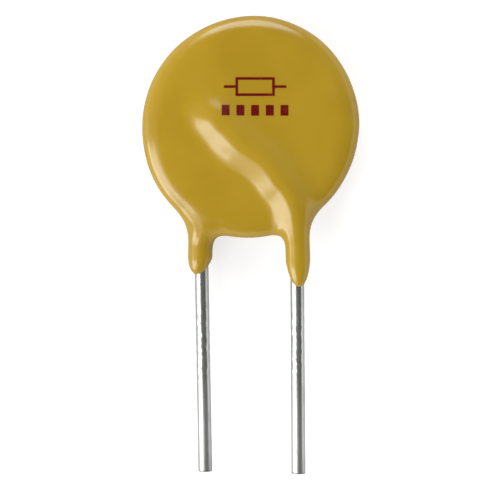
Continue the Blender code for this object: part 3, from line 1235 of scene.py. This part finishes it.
@dataclass
class TinnedLead:
    """One lead of round tinned wire, bent once and cut off square.

    Attributes:
        leg_rows: Rings down the leg, close enough to carry the scuffs.
        wobble: Height of each of the swells.
        scuff_low: Where the gripped zone ends, toward the cut end.
        scuff_high: Where it ends toward the coating.
        dents: Single nicks.
    """

    route: LeadRoute
    radius: float
    sides: int = 56
    leg_rows: int = 360
    bend_rows: int = 10
    slant_rows: int = 8
    end_rounding: float = 0.10 * MM
    end_segments: int = 4
    weld: float = 1e-7
    phase_per_splay: float = 90.0
    wobble: float = 0.0022 * MM
    swells: Sequence[Wave] = (
        Wave(1.90 * MM),
        Wave(0.83 * MM, start=1.1),
        Wave(3.70 * MM, own=1.0),
    )
    scuff_depth: float = 0.009 * MM
    scuff_low: float = -14.8 * MM
    scuff_high: float = -10.9 * MM
    scuff_fade: float = 0.9 * MM
    scuff_waves: Sequence[Wave] = (
        Wave(0.115 * MM, turns=5.0, own=1.0),
        Wave(0.071 * MM, turns=-3.0, own=2.0, share=0.6),
        Wave(0.230 * MM, turns=-2.0, own=4.0, share=1.2),
    )
    dents: Sequence[Dent] = (
        Dent(-12.35 * MM, 150.0, 0.20 * MM, 0.016 * MM),
        Dent(-12.95 * MM, 147.0, 0.16 * MM, 0.012 * MM),
        Dent(-14.60 * MM, 32.0, 0.20 * MM, 0.014 * MM),
        Dent(-17.10 * MM, 60.0, 0.22 * MM, 0.008 * MM),
        Dent(-13.70 * MM, 96.0, 0.16 * MM, 0.008 * MM),
    )

    @staticmethod
    def draw_out(step: Vector, rows: int) -> None:
        """Extrude the selected ring in equal steps.

        Args:
            step: The whole move.
            rows: How many rows it is made in.
        """
        for _ in range(rows):
            bpy.ops.mesh.extrude_region_move(TRANSFORM_OT_translate={"value": tuple(step / rows)})

    def build(
        self, finish: bpy.types.Material, name: str, slot: str, node: str, shift: Vector
    ) -> bpy.types.Object:
        """Model the lead and put it in place.

        Args:
            finish: The wire's material.
            name: The piece's name.
            slot: Not used.
            node: The solid that it stands for.
            shift: The middle of the chip in the row's frame.

        Returns:
            The finished piece.
        """
        route = self.route
        put_down()
        facing = (-route.leg).to_track_quat("Z", "Y").to_euler()
        bpy.ops.mesh.primitive_circle_add(
            vertices=self.sides, radius=self.radius, fill_type="NOTHING", location=route.tip, rotation=facing
        )
        wire = bpy.context.active_object
        bpy.ops.object.transform_apply(location=True, rotation=True, scale=True)
        with editing(wire):
            bpy.ops.mesh.select_all(action="SELECT")
            self.draw_out(route.bend_start - route.tip, self.leg_rows)
            bpy.ops.mesh.spin(
                steps=self.bend_rows,
                angle=-route.turning * route.turn,
                center=tuple(route.bend_centre),
                axis=(0.0, 0.0, 1.0),
            )
            bend_end = Vector(route.line(self.bend_rows)[1])
            self.draw_out(route.chip_end - bend_end, self.slant_rows)
            bpy.ops.mesh.select_all(action="SELECT")
            bpy.ops.mesh.remove_doubles(threshold=self.weld)
            pick(wire, Element.EDGE, lambda edge: edge.is_boundary)
            bpy.ops.mesh.edge_face_add()
            bpy.ops.mesh.select_all(action="SELECT")
            bpy.ops.mesh.normals_make_consistent(inside=False)
            pick(wire, Element.FACE, lambda face: len(face.verts) > 4)
            bpy.ops.mesh.select_mode(type="EDGE")
            bpy.ops.mesh.bevel(offset=self.end_rounding, segments=self.end_segments, affect="EDGES")
        move_points(wire, self.wavered(points_of(wire)))
        piece = finish_piece(wire, name, finish, shift, CUT_SHARP_DEG)
        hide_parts(node)
        return piece

    def wavered(self, points: np.ndarray) -> np.ndarray:
        """Give the tinning the slight unevenness of real wire.

        Args:
            points: The wire's vertices.

        Returns:
            The moved vertices.
        """
        route = self.route
        y = points[:, 1]
        phase = route.splay * self.phase_per_splay
        axis_x = route.corner_x + route.leg.x * (y - route.corner.y) / route.leg.y
        out = points[:, 2] - route.corner.z
        offset = np.column_stack((points[:, 0] - axis_x, np.zeros(len(points)), out))
        around = np.arctan2(offset[:, 2], offset[:, 0])
        swell = sum(wave.height(y, around, phase) for wave in self.swells)
        rise = self.wobble * swell + self.scuffs(y, around, phase) - self.dented(y, around)
        on_leg = (y < route.bend_start.y)[:, None]
        return np.where(on_leg, points + offset * (rise / self.radius)[:, None], points)

    def scuffs(self, y: np.ndarray, around: np.ndarray, phase: float) -> np.ndarray:
        """Small ripples where the wire was gripped, fading out to both sides.

        Args:
            y: Positions down the leg.
            around: Angles about the wire's centre line.
            phase: Makes one lead differ from the other.

        Returns:
            How far the surface stands proud.
        """
        into = np.minimum(y - self.scuff_low, self.scuff_high - y)
        strength = np.clip(into / self.scuff_fade + 0.5, 0, 1)
        total = sum(wave.height(y, around, phase) for wave in self.scuff_waves)
        return self.scuff_depth * strength * total / len(self.scuff_waves)

    def dented(self, y: np.ndarray, around: np.ndarray) -> np.ndarray:
        """Single nicks in the wire.

        Args:
            y: Positions down the leg.
            around: Angles about the wire's centre line.

        Returns:
            How deep the surface is pressed in.
        """
        total = np.zeros(len(y))
        for dent in self.dents:
            turned = np.angle(np.exp(1j * (around - math.radians(dent.angle_deg)))) * self.radius
            near = np.hypot(y - dent.place, turned) / dent.reach
            total += dent.depth * np.exp(-((2 * near) ** 2))
        return total


@dataclass
class InkMark:
    """Plain printed shapes on the front face: a boxed bar over a row of blocks."""

    coating: DippedCoating
    centre_x: float = 0.25 * MM
    upper_y: float = 2.25 * MM
    lower_y: float = 0.86 * MM
    stroke: float = 0.15 * MM
    box_width: float = 2.30 * MM
    box_height: float = 1.10 * MM
    stub_length: float = 0.68 * MM
    block_count: int = 5
    block_pitch: float = 0.86 * MM
    block_width: float = 0.46 * MM
    block_height: float = 0.62 * MM
    film: float = 0.012 * MM
    grid: float = 0.12 * MM
    laying_rounds: int = 12

    def bar(self, x: float, y: float, width: float, height: float) -> bpy.types.Object:
        """Model one flat bar.

        Args:
            x: Middle of the bar.
            y: Middle of the bar.
            width: Its length along X.
            height: Its length along Y.

        Returns:
            The bar, one film thick.
        """
        put_down()
        bpy.ops.mesh.primitive_plane_add(size=1.0, location=(0.0, 0.0, 0.0))
        bar = bpy.context.active_object
        columns = max(1, round(width / self.grid))
        rows = max(1, round(height / self.grid))
        with editing(bar):
            bpy.ops.mesh.select_all(action="SELECT")
            bpy.ops.transform.resize(value=(width, height, 1.0))
            pick(bar, Element.EDGE, lambda edge: abs(edge.verts[0].co.y - edge.verts[1].co.y) < ALIGNED)
            if columns > 1:
                bpy.ops.mesh.subdivide(number_cuts=columns - 1)
            pick(bar, Element.EDGE, lambda edge: abs(edge.verts[0].co.x - edge.verts[1].co.x) < ALIGNED)
            if rows > 1:
                bpy.ops.mesh.subdivide(number_cuts=rows - 1)
            bpy.ops.mesh.select_all(action="SELECT")
            bpy.ops.mesh.extrude_region_move(TRANSFORM_OT_translate={"value": (0.0, 0.0, self.film)})
            bpy.ops.mesh.select_all(action="SELECT")
            bpy.ops.transform.translate(value=(self.centre_x + x, y, 0.0))
            bpy.ops.mesh.normals_make_consistent(inside=False)
        return bar

    def build(self, finish: MarkingInkFinish, shift: Vector) -> bpy.types.Object:
        """Model the mark and lay it on the coating.

        Args:
            finish: The ink.
            shift: The middle of the chip in the row's frame.

        Returns:
            The finished piece.
        """
        up = (self.box_height - self.stroke) / 2
        along = (self.box_width - self.stroke) / 2
        stub = (self.box_width + self.stub_length) / 2
        post = self.box_height - 2 * self.stroke
        parts = [self.bar(0.0, self.upper_y + sign * up, self.box_width, self.stroke) for sign in (1, -1)]
        for sign in (-1, 1):
            parts.append(self.bar(sign * along, self.upper_y, self.stroke, post))
            parts.append(self.bar(sign * stub, self.upper_y, self.stub_length, self.stroke))
        for index in range(self.block_count):
            x = (index - (self.block_count - 1) / 2) * self.block_pitch
            parts.append(self.bar(x, self.lower_y, self.block_width, self.block_height))
        take_up(parts[0])
        for part in parts:
            part.select_set(True)
        bpy.ops.object.join()
        mark = bpy.context.active_object
        points = points_of(mark)
        level = np.where(points[:, 2] > self.film / 2, self.film, -self.film)
        points[:, 2] = self.coating.half_thickness + self.coating.crown
        move_points(mark, self.coating.settled(points, self.laying_rounds, level, upward=True))
        return finish_piece(mark, "ink_mark", finish.build(), shift, CUT_SHARP_DEG)


@dataclass(frozen=True)
class BuriedChip:
    """The solids inside the coating, kept as they are under worked finishes."""

    core: CarbonPolymerFinish = CarbonPolymerFinish()
    foil: RolledFoilFinish = RolledFoilFinish()
    solder: SolderFinish = SolderFinish()

    def dress(self, nodes: dict[str, bpy.types.Object]) -> None:
        """Put the finishes on the solids.

        Args:
            nodes: The frame's solids by name.
        """
        looks = {
            self.core.build(): ("ptc_core",),
            self.foil.build(): ("front_foil", "back_foil"),
            self.solder.build(): ("front_solder", "back_solder"),
        }
        for material, names in looks.items():
            for name in names:
                nodes[name].data.materials.clear()
                nodes[name].data.materials.append(material)
                LOG.info("%s: kept, dressed in %s", name, material.name)


@dataclass(frozen=True)
class Softbox:
    """One soft panel of light, aimed at the object.

    Attributes:
        azimuth_deg: Its direction seen from above, anticlockwise from +X.
        off_axis_deg: Its angle from straight up.
        width: Its size along that angle.
        length: Its size across it.
        radiance: How bright its face is.
        mirrored: Whether it shows in reflections.
    """

    name: str
    shape: PanelShape
    azimuth_deg: float
    off_axis_deg: float
    distance: float
    width: float
    length: float
    radiance: float
    mirrored: bool = True

    def hang(self, target: Vector) -> bpy.types.Object:
        """Hang the panel and aim it.

        Args:
            target: The point that it faces.

        Returns:
            The light object.
        """
        azimuth = math.radians(self.azimuth_deg)
        lean = math.radians(self.off_axis_deg)
        flat = math.sin(lean)
        away = Vector((math.cos(azimuth) * flat, math.sin(azimuth) * flat, math.cos(lean)))
        data = bpy.data.lights.new(self.name, "AREA")
        data.shape = self.shape.value
        data.size = self.length
        data.size_y = self.width
        share = math.pi / 4 if self.shape is PanelShape.ELLIPSE else 1.0
        data.energy = self.radiance * math.pi * self.width * self.length * share
        light = bpy.data.objects.new(self.name, data)
        bpy.context.scene.collection.objects.link(light)
        light.location = target + away * self.distance
        light.visible_glossy = self.mirrored
        light.rotation_mode = "QUATERNION"
        light.rotation_quaternion = away.to_track_quat("Z", "Y")
        return light


@dataclass
class Studio:
    """Pale floor, soft light from the left and top, and a camera that looks straight down."""

    middle: Vector
    view_width: float = 29.5 * MM
    aim_right: float = -0.0475 * MM
    aim_down: float = 7.316 * MM
    lens: float = 150.0
    sensor: float = 36.0
    clip_start: float = 0.001
    clip_end: float = 10.0
    world_level: float = 0.08
    floor_radius: float = 0.9
    floor_sides: int = 96
    floor_tone: tuple[float, float, float] = (0.50, 0.50, 0.50)
    floor_seen: float = 0.68
    floor_mirrored: float = 0.2
    card_width: float = 0.66
    card_height: float = 2.60
    card_lean: float = math.radians(18.0)
    card_right: float = 0.1235
    card_above: float = 0.29
    card_tone: tuple[float, float, float] = (0.13, 0.135, 0.13)
    flag_size: float = 0.62
    flag_azimuth_deg: float = 144.0
    flag_rise: float = 0.75
    flag_distance: float = 0.60
    flag_level: float = 0.35
    # Each row: name, shape, azimuth, angle from straight up, distance, width, length and radiance.
    softboxes: Sequence[Softbox] = (
        Softbox("left_softbox", PanelShape.RECTANGLE, 203.0, 47.0, 0.32, 0.14, 0.140, 4.3),
        Softbox("far_left_softbox", PanelShape.ELLIPSE, 203.0, 73.0, 0.32, 0.15, 0.24, 4.7),
        Softbox("low_left_panel", PanelShape.RECTANGLE, 231.0, 44.0, 0.24, 0.135, 0.09, 0.95),
        Softbox("top_softbox", PanelShape.ELLIPSE, 92.0, 61.0, 0.32, 0.19, 0.28, 4.0),
        Softbox("top_glow", PanelShape.ELLIPSE, 97.0, 64.0, 0.34, 0.24, 0.31, 0.5),
        Softbox("right_fill", PanelShape.RECTANGLE, 30.0, 68.0, 0.35, 0.30, 0.30, 2.2, mirrored=False),
        Softbox("low_fill", PanelShape.RECTANGLE, 275.0, 80.0, 0.35, 0.30, 0.30, 3.6, mirrored=False),
        Softbox("left_fill", PanelShape.RECTANGLE, 165.0, 80.0, 0.35, 0.30, 0.30, 2.6, mirrored=False),
    )

    @property
    def target(self) -> Vector:
        """The point that the camera and the lights face."""
        return self.middle + Vector((self.aim_right, -self.aim_down, 0.0))

    def world(self) -> None:
        """Even grey surroundings that the camera sees as white."""
        world = bpy.data.worlds.new("studio")
        world.use_nodes = True
        bpy.context.scene.world = world
        board = NodeBoard(world.node_tree)
        shader = world.node_tree.nodes["Background"]
        ray = board.add("ShaderNodeLightPath")
        seen = board.math("MAXIMUM", ray.outputs["Is Camera Ray"], ray.outputs["Is Glossy Ray"])
        seen = board.math("MAXIMUM", seen, ray.outputs["Is Transmission Ray"])
        board.join(board.spread(seen, 0.0, 1.0, self.world_level, 1.0), shader.inputs["Strength"])
        shader.inputs["Color"].default_value = WHITE

    @staticmethod
    def matte(name: str, tone: Sequence[float], glow: float = 0.0) -> bpy.types.Material:
        """Make an even matte material for the floor or a card.

        Args:
            name: The material's name.
            tone: Linear red, green and blue.
            glow: Strength of an even white glow.

        Returns:
            The material.
        """
        material = bpy.data.materials.new(name)
        material.use_nodes = True
        inputs = material.node_tree.nodes["Principled BSDF"].inputs
        inputs["Base Color"].default_value = (*tone, 1.0)
        inputs["Roughness"].default_value = 1.0
        inputs["Specular IOR Level"].default_value = 0.0
        inputs["Emission Color"].default_value = WHITE
        inputs["Emission Strength"].default_value = glow
        return material

    @staticmethod
    def only_mirrored(card: bpy.types.Object) -> None:
        """Let a card show in reflections alone."""
        card.visible_camera = False
        card.visible_diffuse = False
        card.visible_shadow = False

    def floor(self) -> bpy.types.Object:
        """Lay a pale round floor that keeps a soft shadow.

        Returns:
            The floor.
        """
        put_down()
        bpy.ops.mesh.primitive_circle_add(
            vertices=self.floor_sides, radius=self.floor_radius, fill_type="NGON"
        )
        floor = bpy.context.active_object
        floor.name = "floor"
        material = self.matte("pale_floor", self.floor_tone)
        board = NodeBoard(material.node_tree)
        shader = material.node_tree.nodes["Principled BSDF"]
        ray = board.add("ShaderNodeLightPath")
        mirrored = board.math("MAXIMUM", ray.outputs["Is Glossy Ray"], ray.outputs["Is Transmission Ray"])
        dimmed = board.math("MULTIPLY", mirrored, self.floor_mirrored)
        seen = board.math("MAXIMUM", ray.outputs["Is Camera Ray"], dimmed)
        board.join(board.math("MULTIPLY", seen, self.floor_seen), shader.inputs["Emission Strength"])
        floor.data.materials.append(material)
        return floor

    def dark_card(self) -> bpy.types.Object:
        """Hang a dark card overhead, which keeps the flat faces free of glare.

        Returns:
            The card.
        """
        put_down()
        bpy.ops.mesh.primitive_plane_add(size=1.0)
        card = bpy.context.active_object
        card.name = "dark_card"
        card.scale = (self.card_width, self.card_height, 1.0)
        bpy.ops.object.transform_apply(location=False, rotation=False, scale=True)
        card.rotation_euler = (0.0, self.card_lean, 0.0)
        card.location = self.target + Vector((self.card_right, 0.0, self.card_above))
        self.only_mirrored(card)
        card.data.materials.append(self.matte("dark_felt", self.card_tone))
        return card

    def grey_flag(self) -> bpy.types.Object:
        """Hang a grey card at the upper left, which calms the reflections in that side of the rim.

        Returns:
            The card.
        """
        put_down()
        bpy.ops.mesh.primitive_plane_add(size=self.flag_size)
        flag = bpy.context.active_object
        flag.name = "grey_flag"
        azimuth = math.radians(self.flag_azimuth_deg)
        away = Vector((math.cos(azimuth), math.sin(azimuth), self.flag_rise)).normalized()
        flag.rotation_mode = "QUATERNION"
        flag.rotation_quaternion = away.to_track_quat("Z", "Y")
        flag.location = self.target + away * self.flag_distance
        self.only_mirrored(flag)
        flag.data.materials.append(self.matte("grey_card", (0.0, 0.0, 0.0), self.flag_level))
        return flag

    def camera(self) -> bpy.types.Object:
        """Set the camera above the object, looking straight down.

        Returns:
            The camera.
        """
        data = bpy.data.cameras.new("camera")
        data.lens = self.lens
        data.sensor_width = self.sensor
        data.clip_start = self.clip_start
        data.clip_end = self.clip_end
        camera = bpy.data.objects.new("camera", data)
        bpy.context.scene.collection.objects.link(camera)
        distance = self.view_width * self.lens / self.sensor
        camera.location = self.target + Vector((0.0, 0.0, distance))
        bpy.context.scene.camera = camera
        return camera

    def build(self) -> None:
        """Set up the camera, world, floor, cards and lights."""
        self.camera()
        self.world()
        self.floor()
        self.dark_card()
        self.grey_flag()
        for softbox in self.softboxes:
            softbox.hang(self.target)
        bpy.context.scene.view_settings.view_transform = "Standard"


def main() -> None:
    """Build every piece in order, then the studio."""
    logging.basicConfig(level=logging.INFO, format="%(name)s: %(message)s")
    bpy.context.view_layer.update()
    low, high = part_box("ptc_core")
    middle = (low + high) / 2
    wire_radius = 0.405 * MM
    wire_height = 0.645 * MM
    corner_y = -4.40 * MM
    front = LeadRoute(Side.FRONT, 2.700 * MM, corner_y, wire_height, splay=math.radians(0.35))
    back = LeadRoute(Side.BACK, -2.990 * MM, corner_y, wire_height, splay=math.radians(1.06))
    necks = (
        Neck(front, reach=9.45 * MM, taper=1.80 * MM, slope=0.12, tongue=0.70, drift=0.05 * MM),
        Neck(back, reach=8.66 * MM, taper=1.30 * MM, slope=-0.45, tongue=0.55, drift=-0.07 * MM),
    )
    coating = DippedCoating(necks, wire_radius)
    coating.build(DippedEpoxyFinish(), middle)
    tinned = TinnedWireFinish().build()
    for route, side in ((front, "front"), (back, "back")):
        lead = TinnedLead(route, wire_radius)
        lead.build(tinned, f"{side}_tinned_lead", f"{side}_tinned_wire", f"{side}_lead", middle)
    InkMark(coating).build(MarkingInkFinish(), middle)
    BuriedChip().dress(frame["nodes"])
    Studio(middle).build()


if __name__ == "__main__":
    main()
